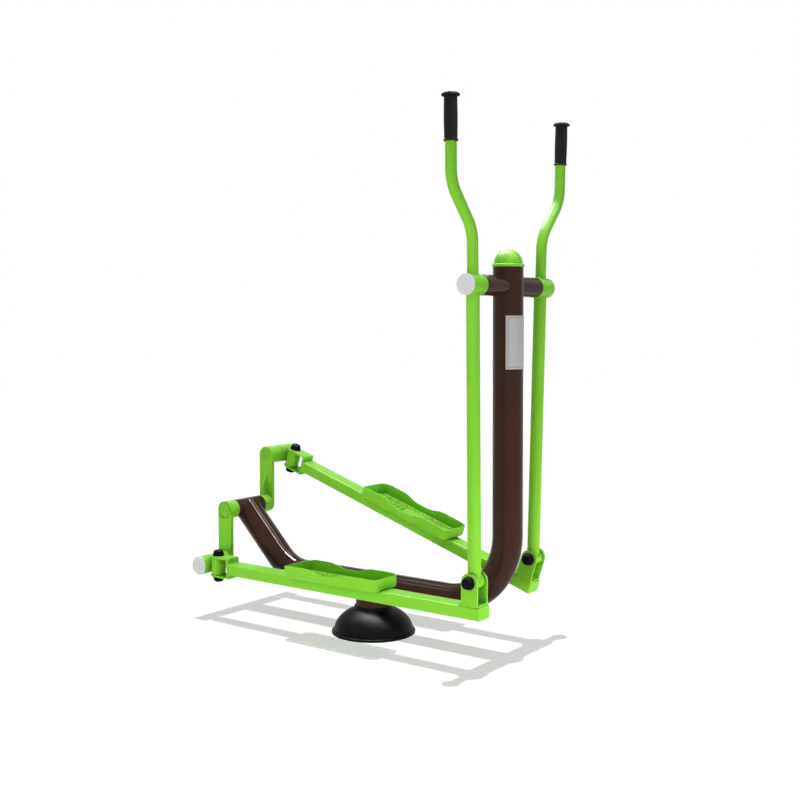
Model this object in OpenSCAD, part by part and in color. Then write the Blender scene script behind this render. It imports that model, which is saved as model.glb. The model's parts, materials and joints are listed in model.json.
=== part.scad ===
// Outdoor stepping walker: two treadles hang between a crank at the back and
// swinging hand levers at the front, on one bent tube over a ground anchored post.
// +X points to the column, +Z up, origin on the ground at the middle of the post.
// The right side lies towards -Y. Each treadle, its lever and the crank close a
// four-bar linkage, and the rest angles are worked out from the bar lengths.

/* [Main tube] */
// Outer diameter of the bent main tube
tube_d = 89; // [76:1:96]
// Wall of the main tube
tube_wall = 4; // [3:0.5:5]
// Column axis in front of the base post
column_x = 500; // [480:1:520]
// Height of the column's upper end above the lever pivot
column_head = 55; // [48:1:90]
// Height of the axis of the level run
run_z = 151; // [145:1:160]
// Bend radius between the run and the column
front_bend_r = 215; // [180:1:230]
// Bend radius between the run and the rear slope
rear_bend_r = 163; // [130:1:180]
// Angle of the rear slope against the ground
rear_slope = 45; // [42:0.5:48]
// Plate that closes the rear end of the tube
end_plate_t = 4; // [3:0.5:6]

/* [Base] */
// Outer diameter of the base post
post_d = 114; // [100:1:120]
// Wall of the base post
post_wall = 4; // [3:0.5:6]
// Depth to which the main tube is let into the post
post_saddle = 22; // [16:1:30]
// Diameter of the ground flange
flange_d = 220; // [210:1:230]
// Thickness of the ground flange
flange_t = 10; // [8:1:12]
// Pitch circle of the anchor holes
anchor_circle_d = 180; // [176:1:186]
// Diameter of an anchor hole
anchor_hole_d = 14; // [12:0.5:16]
// Number of anchor holes
anchor_count = 4; // [4]
// Height of a flange gusset
gusset_h = 40; // [30:1:45]
// Reach of a flange gusset out from the post
gusset_reach = 44; // [36:1:46]
// Thickness of a flange gusset
gusset_t = 8; // [6:1:10]
// Diameter of the cover's rim on the ground
cover_rim_d = 268; // [262:1:280]
// Height of the cover's rim
cover_rim_h = 8; // [6:1:12]
// Diameter of the cover's dome above the rim
cover_dome_d = 252; // [246:1:258]
// Height of the full dome above the rim
cover_dome_h = 80; // [76:1:90]
// Thickness of the cover
cover_wall = 3; // [2:0.5:4]
// Height of the collar round the post
collar_top = 88; // [86:1:96]

/* [Crank] */
// Crank axis behind the base post
crank_back = 560; // [545:1:570]
// Height of the crank axis
crank_z = 351.5; // [346:0.5:356]
// Radius from the crank axis to a crank pin
crank_r = 170; // [160:1:176]
// Outer diameter of housing, hubs, cross tube and sleeves
pipe_d = 60; // [58:0.5:62]
// Wall of those pipes, which leaves the bearing seats
pipe_wall = 4; // [3:0.5:4.5]
// Length of the crank housing
housing_len = 125; // [110:1:130]
// Width of the crank over both arms
crank_w = 215.4; // [205:0.2:218]
// Thickness of a crank arm
arm_t = 11; // [9:0.5:13]
// Length of the boss at a crank pin
pin_boss = 46; // [40:1:50]
// Height of the gusset on an arm above the hub
arm_gusset_h = 70; // [50:1:80]
// Length of the gusset along the hub
arm_gusset_len = 28; // [20:1:30]
// Thickness of the arm gusset
arm_gusset_t = 6; // [4:1:8]
// Rim that the arm keeps round the closing disc of the shaft
disc_rim = 1.5; // [1:0.1:3]
// Open gap round that disc
disc_gap = 2.4; // [1.5:0.1:3]
// Diameter of the disc behind a crank pin
pin_disc_d = 36; // [32:1:42]
// Thickness of the closing discs
disc_t = 3; // [2:0.5:4]

/* [Levers] */
// Height of the lever pivot
pivot_z = 1092; // [1086:1:1096]
// Length of the cross tube
cross_len = 305; // [298:1:308]
// Length of a lever sleeve
sleeve_len = 68; // [66:1:72]
// Distance from the pivot to the fork bolt
lever_len = 827; // [822:1:832]
// Outer diameter of the lower lever tube
lever_d = 38; // [34:1:40]
// Outer diameter of the handle tube
handle_d = 32; // [28:1:34]
// Wall of the lever and handle tubes
lever_wall = 3; // [2:0.5:4]
// Start of the handle's first bend above the pivot
bend_start = 113; // [100:1:130]
// Bend radius of the handle
handle_bend_r = 100; // [80:1:110]
// Angle of the handle's slanted stretch
handle_slant = 41; // [36:1:46]
// Sideways offset of the grips
handle_offset = 103.5; // [95:0.5:115]
// Height of the grips' upper end above the pivot
handle_top = 510; // [500:1:530]
// Length of a grip
grip_len = 131; // [120:1:140]
// Greatest diameter of a grip's body
grip_d = 38; // [37:0.5:42]
// Diameter of a grip's flange
grip_flange_d = 51.5; // [48:0.5:56]
// Outer diameter of the knuckle at the lever's foot
foot_knuckle_d = 42; // [40:1:46]

/* [Treadles] */
// Distance along the bar from the crank pin to the fork bolt
bar_reach = 1066; // [1060:0.5:1069]
// Height of the fork bolt above the crank pin
fork_rise = 83.5; // [80:0.5:88]
// Width of the treadle bar
bar_w = 56; // [52:1:58]
// Height of the treadle bar
bar_h = 37; // [34:1:40]
// Wall of the treadle bar
bar_wall = 3; // [2:0.5:4]
// Outer corner radius of the treadle bar
bar_corner_r = 5; // [4:0.5:7]
// Drop of the bar's middle line below the crank pin
bar_drop = 2; // [0:0.5:4]
// Overhang of the bar in front of the fork bolt
bar_overhang = 32; // [30:0.5:40]
// Thickness of the plates of fork and clevis
plate_t = 6; // [5:0.5:7]
// Width of a fork's ear
ear_w = 54; // [50:1:56]
// Width of the clevis plates
clevis_w = 51; // [48:1:55]
// Length of the fork's base plate
fork_base_len = 65; // [60:1:70]
// Distance from the swivel bolt to the clevis web
clevis_reach = 62; // [58:1:66]
// Outer diameter of the swivel knuckle
swivel_d = 47; // [44:1:48]
// Height of the swivel knuckle
swivel_h = 54; // [50:1:56]
// Reach of the swivel sleeve out from the middle of the treadle
swivel_reach = 39; // [36:1:44]
// Diameter of the joint bolts
bolt_d = 16; // [14:0.5:18]
// Diameter of a bolt cap at its foot
cap_d = 38; // [36:0.5:39]
// Height of a bolt cap
cap_h = 20; // [19:0.5:25]

/* [Footplates] */
// Distance from the crank pin to the right footplate's rear edge
tray_back = 393.5; // [380:0.5:420]
// Distance by which the left footplate stands further forward
left_tray_ahead = 22; // [0:1:40]
// Length of a footplate
tray_len = 364; // [350:1:370]
// Width of a footplate
tray_w = 122; // [112:1:124]
// Sheet thickness of a footplate
tray_t = 3; // [2:0.5:4]
// Corner radius of a footplate
tray_corner_r = 20; // [16:1:28]
// Fold radius between floor and wall
tray_fold_r = 7; // [5:0.5:9]
// Height of the rear end of the wall
wall_rear_h = 34; // [30:1:38]
// Height of the wall beside the heel
wall_heel_h = 39; // [36:1:46]
// Height of the wall beside the arch
wall_arch_h = 25; // [20:1:30]
// Height of the wall beside the toes
wall_toe_h = 38; // [34:1:44]
// Diameter of a drain hole
drain_d = 8; // [6:0.5:9]
// Pitch of the drain holes
drain_pitch = 36.5; // [32:0.5:36.5]
// Height of a tread rib
rib_h = 2; // [1:0.5:3]
// Width of a tread rib
rib_w = 6; // [4:0.5:7]
// Length of a tread rib between its round ends
rib_len = 54; // [40:1:58]

/* [Column cap and label] */
// Diameter of the bead of the column cap
bead_d = 94.4; // [92:0.2:100]
// Height of the bead
bead_h = 10; // [8:0.5:12]
// Diameter of the cap's dome
dome_d = 84; // [80:1:86]
// Height of the label plate
label_h = 154; // [120:1:170]
// Angle that the label plate covers on the column
label_angle = 134; // [100:1:150]
// Height of the label plate's lower edge
label_z = 853; // [830:1:870]
// Thickness of the label plate
label_t = 1; // [0.6:0.1:2]

/* [Bearings] */
// Diameter of the crank, pivot and pin shafts
shaft_d = 25; // [24:0.5:28]
// Width of a ball bearing
bearing_w = 15; // [12:1:16]
// Height of a bearing's outer ring and inner ring
bearing_ring = 4; // [3:0.5:5]
// Depth of the shield between the rings
shield_depth = 0.8; // [0.4:0.1:1.5]
// Radial play of a running fit
running_play = 0.05; // [0.02:0.01:0.09]
// Gap between faces that turn against each other
face_gap = 1; // [0.8:0.1:1.5]
// Gap beside the open end of a crank pin
open_gap = 2; // [1.8:0.1:3]

/* [Hidden] */
$fn = 64;
green = "YellowGreen";
brown = "#3a251d";
black = "#1c1c1d";
grey = "#c9c9cb";
steel = "#9aa0a6";
// Overrun of the cuts
over = 1;
tube_r = tube_d / 2;
tube_bore_r = tube_r - tube_wall;
pipe_r = pipe_d / 2;
pipe_bore_r = pipe_r - pipe_wall;
shaft_r = shaft_d / 2;
bolt_r = bolt_d / 2;
crank_x = -crank_back;
arm_face = crank_w / 2;
cross_half = cross_len / 2;
sleeve_in = cross_half + face_gap;
sleeve_out = sleeve_in + sleeve_len;
lane_y = sleeve_in + sleeve_len / 2; // the treadles run under the middle of the lever sleeves
column_top = pivot_z + column_head;
lid_t = 3; // flange of the grey end lids
lid_plug = 6; // depth of the ring behind that flange
pin_in = arm_face + pin_boss + open_gap;
pin_out = lane_y + swivel_reach;
bearing_sink = 2; // depth of a bearing behind the end of its pipe
nut_d = 36; // round nut on a shaft end
nut_t = 8;
nut_gap = 0.3; // air between a nut or lid and its bearing
weld_sink = 2.5; // depth to which a knuckle is let into its sleeve
swivel_x = pipe_r + swivel_d / 2 - weld_sink;
web_x = swivel_x + clevis_reach;
bar_x = web_x + plate_t;
bar_end = bar_reach + bar_overhang;
bar_top = bar_h / 2 - bar_drop;
clevis_half = swivel_h / 2 + face_gap + plate_t;
fork_gap_half = bar_w / 2 - plate_t;
knuckle_wall = 5; // wall of both knuckles
bush_flange_t = 0.7;
bush_flange_d = 30;
bush_len = 16;
bolt_play = 0.3; // radial play of a bolt in a plate
hex_w = 24; // width of bolt heads and nuts across flats
head_t = 10;
hex_nut_t = 13;

// Distance and direction between two points of the side plane
function span(a, b) = norm(b - a);
function heading(a, b) = atan2(b[1] - a[1], b[0] - a[0]);

// Crank pin at rest, down on the right and up on the left
function pin_at(side) = [crank_x, crank_z + (side == "left" ? crank_r : -crank_r)];
pivot_at = [column_x, pivot_z];
coupler = norm([bar_reach, fork_rise]);
// Direction from the pivot to the fork bolt, by the law of cosines
function lever_heading(side) =
    let (d = span(pivot_at, pin_at(side)))
    heading(pivot_at, pin_at(side)) + acos((lever_len ^ 2 + d ^ 2 - coupler ^ 2) / (2 * lever_len * d));
function fork_at(side) =
    pivot_at + lever_len * [cos(lever_heading(side)), sin(lever_heading(side))];
// Turn of a lever about +Y, and of a treadle about +Y
function lever_turn(side) = -(90 + lever_heading(side));
function treadle_turn(side) =
    atan2(fork_rise, bar_reach) - heading(pin_at(side), fork_at(side));

// Round bar along Y between two places on the right side
module y_rod(r, y_from, y_to) {
    translate([0, -y_to, 0]) rotate([-90, 0, 0]) cylinder(r = r, h = y_to - y_from);
}

// Piece of pipe along Y on the right side
module y_pipe(r, bore, y_from, y_to) {
    difference() {
        y_rod(r, y_from, y_to);
        y_rod(bore, y_from - over, y_to + over);
    }
}

// Piece of a bent rod in the XY plane, its centre of bend at the origin. A bend
// swells by a hair, and the straight stretches run into it
bend_swell = 0.05;
bend_lap = 1;
module bent_rod(r, bend_r, from_angle, sweep) {
    rotate([0, 0, from_angle]) rotate_extrude(angle = sweep, $fn = 96)
        translate([bend_r, 0]) circle(r = r + bend_swell);
}

// Slot with round ends, its ends centred at the origin and at length along X
module slot_plan(len, w) {
    translate([0, -w / 2]) square([len, w]);
    circle(d = w);
    translate([len, 0]) circle(d = w);
}

// Draws the right side's child, or its mirror image on the left
module on_side(side) {
    mirror([0, side == "left" ? 1 : 0, 0]) children();
}

// Frames of the crank, the lever and the treadle of one side, at rest
module at_crank() {
    translate([crank_x, 0, crank_z]) children();
}
module at_lever(side) {
    translate([column_x, 0, pivot_z]) rotate([0, lever_turn(side), 0]) on_side(side) children();
}
module at_treadle(side) {
    translate([crank_x, 0, pin_at(side)[1]])
        rotate([0, treadle_turn(side), 0]) on_side(side) children();
}

// Main tube: rear slope, bend, level run, bend and column
slope_len = (crank_z - run_z - rear_bend_r * (1 - cos(rear_slope))) / sin(rear_slope);
run_start = crank_x + slope_len * cos(rear_slope) + rear_bend_r * sin(rear_slope);
run_end = column_x - front_bend_r;

module main_route(r, start, stretch) {
    translate([crank_x, 0, crank_z]) rotate([0, 90 + rear_slope, 0])
        translate([0, 0, start]) cylinder(r = r, h = slope_len - start + bend_lap);
    translate([run_start, 0, run_z + rear_bend_r]) rotate([90, 0, 0])
        bent_rod(r, rear_bend_r, -90 - rear_slope, rear_slope);
    translate([run_start - bend_lap, 0, run_z]) rotate([0, 90, 0])
        cylinder(r = r, h = run_end - run_start + 2 * bend_lap);
    translate([run_end, 0, run_z + front_bend_r]) rotate([90, 0, 0])
        bent_rod(r, front_bend_r, -90, 90);
    translate([column_x, 0, run_z + front_bend_r - bend_lap])
        cylinder(r = r, h = column_top - run_z - front_bend_r + bend_lap + stretch);
}

module main_tube() {
    color(brown) difference() {
        main_route(tube_r, 0, 0);
        main_route(tube_bore_r, end_plate_t, over);
        at_crank() y_rod(pipe_r, -tube_d, tube_d);
        translate([column_x, 0, pivot_z]) y_rod(pipe_r, -tube_d, tube_d);
    }
}

// Base
post_top = run_z - tube_r + post_saddle;

module base_flange() {
    color(brown) difference() {
        cylinder(d = flange_d, h = flange_t);
        for (i = [0:anchor_count - 1])
            rotate([0, 0, (i + 0.5) * 360 / anchor_count])
                translate([anchor_circle_d / 2, 0, -over])
                    cylinder(d = anchor_hole_d, h = flange_t + 2 * over);
    }
}

module base_gussets() {
    // Each gusset is a triangle with a clipped toe, between two anchor holes
    toe_h = gusset_t;
    color(brown) for (i = [0:anchor_count - 1])
        rotate([0, 0, i * 360 / anchor_count])
            translate([0, gusset_t / 2, flange_t]) rotate([90, 0, 0]) linear_extrude(gusset_t)
                difference() {
                    polygon([
                        [post_d / 2 - over, 0], [post_d / 2 + gusset_reach, 0],
                        [post_d / 2 + gusset_reach, toe_h], [post_d / 2 + toe_h, gusset_h],
                        [post_d / 2 - over, gusset_h]
                    ]);
                    square([post_d / 2, gusset_h]);
                }
}

module base_post() {
    color(brown) difference() {
        translate([0, 0, flange_t]) cylinder(d = post_d, h = post_top - flange_t);
        translate([0, 0, flange_t - over])
            cylinder(d = post_d - 2 * post_wall, h = post_top - flange_t + 2 * over);
        translate([-post_d, 0, run_z]) rotate([0, 90, 0]) cylinder(r = tube_r, h = 2 * post_d);
    }
}

// Profile of the cover: rim, quarter ellipse, then the collar round the post
cover_steps = 24;
collar_play = 0.5;
collar_r = post_d / 2 + collar_play + cover_wall;
function dome_points(half_w, h, top_r) =
    let (last = acos(top_r / half_w))
    [for (i = [0:cover_steps]) [half_w * cos(last * i / cover_steps), h * sin(last * i / cover_steps)]];

module cover_profile(inset) {
    translate([0, cover_rim_h]) polygon(concat(
        [[collar_r - inset, 0]],
        dome_points(cover_dome_d / 2 - inset, cover_dome_h - inset, collar_r - inset)
    ));
    square([cover_rim_d / 2 - inset, cover_rim_h]);
    square([collar_r - inset, collar_top]);
}

module base_cover() {
    color(black) rotate_extrude($fn = 96) difference() {
        cover_profile(0);
        translate([0, -over]) cover_profile(cover_wall);
        square([cover_dome_d / 2 - cover_wall, cover_rim_h]);
        translate([0, -over]) square([post_d / 2 + collar_play, collar_top + 2 * over]);
    }
}

// One sealed ball bearing along Y between its outer and inner face
module bearing(y_from) {
    y_to = y_from + bearing_w;
    inner_r = shaft_r + bearing_ring;
    outer_r = pipe_bore_r - bearing_ring;
    difference() {
        y_pipe(pipe_bore_r, shaft_r + running_play, y_from, y_to);
        y_pipe(outer_r, inner_r, y_from - over, y_from + shield_depth);
        y_pipe(outer_r, inner_r, y_to - shield_depth, y_to + over);
    }
}

// Crank housing, its bearings and the cross tube
housing_half = housing_len / 2;
module crank_housing() {
    color(brown) at_crank() y_pipe(pipe_r, pipe_bore_r, -housing_half, housing_half);
}
module housing_bearings() {
    color(steel) at_crank() for (side = ["right", "left"])
        on_side(side) bearing(housing_half - bearing_sink - bearing_w);
}
module at_pivot() {
    translate([column_x, 0, pivot_z]) children();
}
module cross_tube() {
    color(brown) at_pivot() y_pipe(pipe_r, pipe_bore_r, -cross_half, cross_half);
}
module cross_tube_plugs() {
    color(steel) at_pivot() for (side = ["right", "left"])
        on_side(side) y_pipe(pipe_bore_r, shaft_r, cross_half - bearing_w, cross_half);
}

// The shaft passes through the cross tube and carries both levers
pivot_outer_bearing = sleeve_out - lid_plug - nut_t - 2 * nut_gap - bearing_w;
pivot_nut_y = pivot_outer_bearing + bearing_w + nut_gap;
module pivot_shaft() {
    color(steel) at_pivot() y_rod(shaft_r, -(pivot_nut_y + nut_t), pivot_nut_y + nut_t);
}
module pivot_nuts() {
    color(steel) at_pivot() for (side = ["right", "left"])
        on_side(side) y_pipe(nut_d / 2, shaft_r, pivot_nut_y, pivot_nut_y + nut_t);
}

// Column cap: a spigot in the tube, a rounded bead and a dome
spigot_len = 16;
cap_wall = 3;
module column_cap() {
    bead_r = bead_d / 2;
    color(green) translate([column_x, 0, column_top]) rotate_extrude($fn = 96) difference() {
        union() {
            square([bead_r - bead_h / 2, bead_h]);
            translate([bead_r - bead_h / 2, bead_h / 2]) circle(d = bead_h);
            translate([0, bead_h]) intersection() {
                circle(d = dome_d);
                square(dome_d);
            }
            translate([0, -spigot_len]) square([tube_bore_r - running_play, spigot_len]);
        }
        translate([-dome_d, -spigot_len - over]) square([dome_d, 2 * dome_d]);
        translate([0, -spigot_len - over])
            square([tube_bore_r - cap_wall, spigot_len + over + bead_h / 2]);
        translate([0, bead_h / 2]) intersection() {
            circle(r = tube_bore_r - cap_wall);
            square(dome_d);
        }
    }
}

label_seat = 0.3; // thickness of the adhesive under the plate
module label_plate() {
    color(grey) translate([column_x, 0, label_z]) rotate([0, 0, -label_angle / 2])
        rotate_extrude(angle = label_angle, $fn = 96)
            translate([tube_r + label_seat, 0]) square([label_t, label_h]);
}

// Crank: shaft, hubs, arms and the discs that close their bores
hub_in = housing_half + face_gap;
arm_in = arm_face - arm_t;
disc_seat_r = pipe_r - disc_rim;
groove_shares = [0.62, 0.74];
dimple_share = 0.32;
module crank_shaft() {
    shaft_end = arm_face - disc_t;
    color(steel) at_crank() y_rod(shaft_r, -shaft_end, shaft_end);
}
module crank_hub(side) {
    color(green) at_crank() on_side(side) y_pipe(pipe_r, shaft_r, hub_in, arm_in);
}
module crank_arm(side) {
    // The gusset is a clipped triangle between the arm and the top of the hub
    toe = arm_gusset_t / 2;
    turn = side == "left" ? 180 : 0;
    color(green) at_crank() on_side(side) rotate([0, turn, 0]) difference() {
        union() {
            translate([0, -arm_in, 0]) rotate([90, 90, 0])
                linear_extrude(arm_t) slot_plan(crank_r, pipe_d);
            translate([0, 0, -crank_r]) y_rod(pipe_r, arm_in, arm_face + pin_boss);
            translate([-arm_gusset_t / 2, 0, 0]) rotate([90, 0, 90]) linear_extrude(arm_gusset_t)
                polygon([
                    [-arm_in, -pipe_r - arm_gusset_h], [-arm_in + toe, -pipe_r - arm_gusset_h],
                    [-arm_in + arm_gusset_len, -pipe_r - toe], [-arm_in + arm_gusset_len, -pipe_r],
                    [-arm_in, -pipe_r]
                ]);
        }
        y_rod(shaft_r, arm_in - over, arm_face + over);
        y_rod(disc_seat_r, arm_face - disc_t, arm_face + over);
        translate([0, 0, -crank_r]) y_rod(pin_disc_d / 2, arm_in - over, arm_in + disc_t);
        y_rod(pipe_r, 0, arm_in);
    }
}
module crank_end_discs() {
    // Each disc is turned with a ring groove and a centre dimple on its open face
    groove = disc_t / 4;
    module disc(r, y_from, cut_from) {
        difference() {
            y_rod(r, y_from, y_from + disc_t);
            y_pipe(r * groove_shares[1], r * groove_shares[0], cut_from, cut_from + 2 * groove);
            y_rod(r * dimple_share, cut_from, cut_from + 2 * groove);
        }
    }
    color(green) at_crank() for (side = ["right", "left"]) on_side(side) {
        disc(disc_seat_r - disc_gap, arm_face - disc_t, arm_face - groove);
        translate([0, 0, side == "left" ? crank_r : -crank_r])
            disc(pin_disc_d / 2 - disc_t / 6, arm_in, arm_in - groove);
    }
}

// Lever of one side, drawn about its pivot
module pivot_sleeve(side) {
    color(green) at_lever(side) y_pipe(pipe_r, pipe_bore_r, sleeve_in, sleeve_out);
}
module pivot_bearings(side) {
    color(steel) at_lever(side) {
        bearing(sleeve_in + bearing_sink);
        bearing(pivot_outer_bearing);
    }
}
// Grey lid with a plug ring, on the outer end of a sleeve
module end_lid(y_from) {
    lid_edge = lid_t / 3;
    difference() {
        union() {
            y_rod(pipe_r, y_from, y_from + lid_t - lid_edge);
            translate([0, -(y_from + lid_t - lid_edge), 0]) rotate([90, 0, 0])
                rotate_extrude() {
                    square([pipe_r - lid_edge, lid_edge]);
                    translate([pipe_r - lid_edge, 0]) intersection() {
                        circle(r = lid_edge);
                        square(lid_edge);
                    }
                }
            y_rod(pipe_bore_r - running_play, y_from - lid_plug, y_from);
        }
        y_rod(pipe_bore_r - lid_t, y_from - lid_plug - over, y_from);
    }
}
module pivot_lid(side) {
    color(grey) at_lever(side) end_lid(sleeve_out);
}
module lever_tube(side) {
    color(green) at_lever(side) difference() {
        translate([0, -lane_y, -lever_len]) cylinder(d = lever_d, h = lever_len);
        translate([0, -lane_y, -lever_len - over])
            cylinder(d = lever_d - 2 * lever_wall, h = lever_len + 2 * over);
        y_rod(pipe_r, sleeve_in - over, sleeve_out + over);
        translate([0, 0, -lever_len])
            y_rod(foot_knuckle_d / 2, lane_y - bar_w / 2, lane_y + bar_w / 2);
    }
}

// Handle route: straight, bent out, slanted, bent back and straight
slant_rise = handle_bend_r * sin(handle_slant);
slant_side = handle_bend_r * (1 - cos(handle_slant));
slant_len = (handle_offset - 2 * slant_side) / sin(handle_slant);
bend_end = bend_start + 2 * slant_rise + slant_len * cos(handle_slant);
grip_crown = 12; // rubber over the handle's end
handle_end = handle_top - grip_crown;
module handle_route(r, stretch) {
    translate([0, -lane_y, -stretch]) cylinder(r = r, h = bend_start + stretch + bend_lap);
    translate([0, -lane_y - handle_bend_r, bend_start]) rotate([90, 0, 90])
        bent_rod(r, handle_bend_r, 0, handle_slant);
    translate([0, -lane_y - slant_side, bend_start + slant_rise]) rotate([handle_slant, 0, 0])
        translate([0, 0, -bend_lap]) cylinder(r = r, h = slant_len + 2 * bend_lap);
    translate([0, -lane_y - handle_offset + handle_bend_r, bend_end]) rotate([90, 0, 90])
        bent_rod(r, handle_bend_r, 180, handle_slant);
    translate([0, -lane_y - handle_offset, bend_end - bend_lap])
        cylinder(r = r, h = handle_end - bend_end + bend_lap + stretch);
}
module handle_tube(side) {
    color(green) at_lever(side) difference() {
        handle_route(handle_d / 2, 0);
        handle_route(handle_d / 2 - lever_wall, over);
        y_rod(pipe_r, sleeve_in - over, sleeve_out + over);
    }
}

// Rubber grip: end ring, barrel with a slight swell, mushroom flange
grip_steps = 16;
grip_ring_h = 5;
grip_flange_h = 6;
grip_dome_h = 5.5;
grip_ring_step = 1; // by which the end ring stands out from the barrel
grip_swell = 1; // by which the barrel swells between its ends
grip_ring_d = grip_d + 2 * grip_ring_step;
grip_waist_d = grip_d - 2 * grip_swell;
module hand_grip(side) {
    body_len = grip_len - grip_flange_h - grip_dome_h;
    flange_r = grip_flange_d / 2;
    edge_r = grip_flange_h / 2;
    barrel = [for (i = [0:grip_steps])
        [grip_waist_d / 2 + (grip_d - grip_waist_d) / 2 * sin(180 * i / grip_steps),
         body_len * i / grip_steps]];
    cap = [for (i = [0:grip_steps])
        [(flange_r - edge_r) * cos(90 * i / grip_steps), grip_dome_h * sin(90 * i / grip_steps)]];
    color(black) at_lever(side)
        translate([0, -lane_y - handle_offset, handle_top - grip_len]) rotate_extrude() difference() {
            union() {
                polygon(concat([[0, 0]], barrel, [[0, body_len]]));
                square([grip_ring_d / 2 - grip_ring_h / 2, grip_ring_h]);
                translate([grip_ring_d / 2 - grip_ring_h / 2, grip_ring_h / 2]) circle(d = grip_ring_h);
                translate([0, body_len]) square([flange_r - edge_r, grip_flange_h]);
                translate([flange_r - edge_r, body_len + edge_r]) circle(d = grip_flange_h);
                translate([0, body_len + grip_flange_h]) polygon(concat([[0, 0]], cap));
            }
            translate([0, -over]) square([handle_d / 2, handle_end - handle_top + grip_len + over]);
        }
}

// Foot of the lever: a knuckle across the lane with two flanged bushes
knuckle_half = fork_gap_half - face_gap;
module foot_knuckle(side) {
    color(green) at_lever(side) translate([0, 0, -lever_len])
        y_pipe(foot_knuckle_d / 2, foot_knuckle_d / 2 - knuckle_wall,
               lane_y - knuckle_half, lane_y + knuckle_half);
}
module bush(outer_r) {
    // Stands on its flange, which lies in the gap beside the knuckle
    difference() {
        union() {
            cylinder(r = outer_r, h = bush_len);
            translate([0, 0, -bush_flange_t]) cylinder(d = bush_flange_d, h = bush_flange_t);
        }
        translate([0, 0, -over]) cylinder(r = bolt_r + running_play, h = bush_len + 2 * over);
    }
}
module knuckle_bushes(side) {
    color(grey) at_lever(side) translate([0, -lane_y, -lever_len]) for (turn = [-90, 90])
        rotate([turn, 0, 0]) translate([0, 0, -knuckle_half])
            bush(foot_knuckle_d / 2 - knuckle_wall);
}

// Treadle of one side, drawn from the crank pin forward
// Rolled rectangular tube with round corners, closed by a plate in front
module box_plan(w, h, r) {
    square([w - 2 * r, h], center = true);
    square([w, h - 2 * r], center = true);
    for (x = [-1, 1]) for (y = [-1, 1]) translate([x * (w / 2 - r), y * (h / 2 - r)]) circle(r = r);
}
module treadle_bar(side) {
    color(green) at_treadle(side) translate([0, -lane_y, bar_top - bar_h / 2]) difference() {
        translate([bar_x, 0, 0]) rotate([90, 0, 90])
            linear_extrude(bar_end - bar_x) box_plan(bar_w, bar_h, bar_corner_r);
        translate([bar_x - over, 0, 0]) rotate([90, 0, 90]) linear_extrude(bar_end - bar_x - bar_wall + over)
            box_plan(bar_w - 2 * bar_wall, bar_h - 2 * bar_wall, bar_corner_r - bar_wall);
    }
}

// Section of the footplate's wall with its fold, floor on the X axis
module wall_section(h) {
    difference() {
        union() {
            translate([-tray_t, tray_fold_r]) square([tray_t, h - tray_fold_r]);
            translate([-tray_fold_r, tray_fold_r]) circle(r = tray_fold_r);
        }
        translate([-tray_fold_r, tray_fold_r]) circle(r = tray_fold_r - tray_t);
        translate([-2 * tray_fold_r, tray_fold_r]) square([2 * tray_fold_r - tray_t, h]);
        translate([-2 * tray_fold_r - over, -over]) square([tray_fold_r + over, h]);
    }
}

// Heights of the wall, blended between stations along the plate
wall_shares = [0, 0.11, 0.25, 0.45, 0.55, 0.73, 0.85, 1];
wall_heights = [wall_rear_h, wall_heel_h, wall_heel_h, wall_arch_h,
                wall_arch_h, wall_toe_h, wall_toe_h, (wall_toe_h + wall_rear_h) / 2];
blend_steps = 7;
function eased(a, b, t) = a + (b - a) * (1 - cos(180 * t)) / 2;
wave = [for (i = [0:len(wall_shares) - 2]) for (k = [0:blend_steps - 1])
    [tray_len * (wall_shares[i] + (wall_shares[i + 1] - wall_shares[i]) * k / blend_steps),
     eased(wall_heights[i], wall_heights[i + 1], k / blend_steps)]];

module tray_walls(h) {
    straight_len = tray_len - 2 * tray_corner_r;
    straight_w = tray_w - 2 * tray_corner_r;
    for (turn = [0, 180]) rotate([0, 0, turn]) {
        translate([tray_len / 2, straight_w / 2, 0]) rotate([90, 0, 0])
            linear_extrude(straight_w) wall_section(h);
        translate([-straight_len / 2, tray_w / 2, 0]) rotate([90, 0, 90])
            linear_extrude(straight_len) wall_section(h);
        translate([straight_len / 2, straight_w / 2, 0]) rotate_extrude(angle = 90)
            translate([tray_corner_r, 0]) wall_section(h);
        translate([-straight_len / 2, straight_w / 2, 0]) rotate([0, 0, 90])
            rotate_extrude(angle = 90) translate([tray_corner_r, 0]) wall_section(h);
    }
}

// Floor plan inside the folds
module floor_plan() {
    corner = tray_corner_r - tray_fold_r;
    len = tray_len - 2 * tray_fold_r;
    w = tray_w - 2 * tray_fold_r;
    square([len, w - 2 * corner], center = true);
    square([len - 2 * corner, w], center = true);
    for (x = [-1, 1]) for (y = [-1, 1])
        translate([x * (len / 2 - corner), y * (w / 2 - corner)]) circle(r = corner);
}

// Drain holes in two rows, and tread ribs across the plate under heel and toes
drain_count = 10;
drain_inset = 13;
rib_slant = 84;
rib_pitch = drain_pitch / 2;
rib_counts = [6, 4];
rib_start_shares = [0.11, 0.62];

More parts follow.
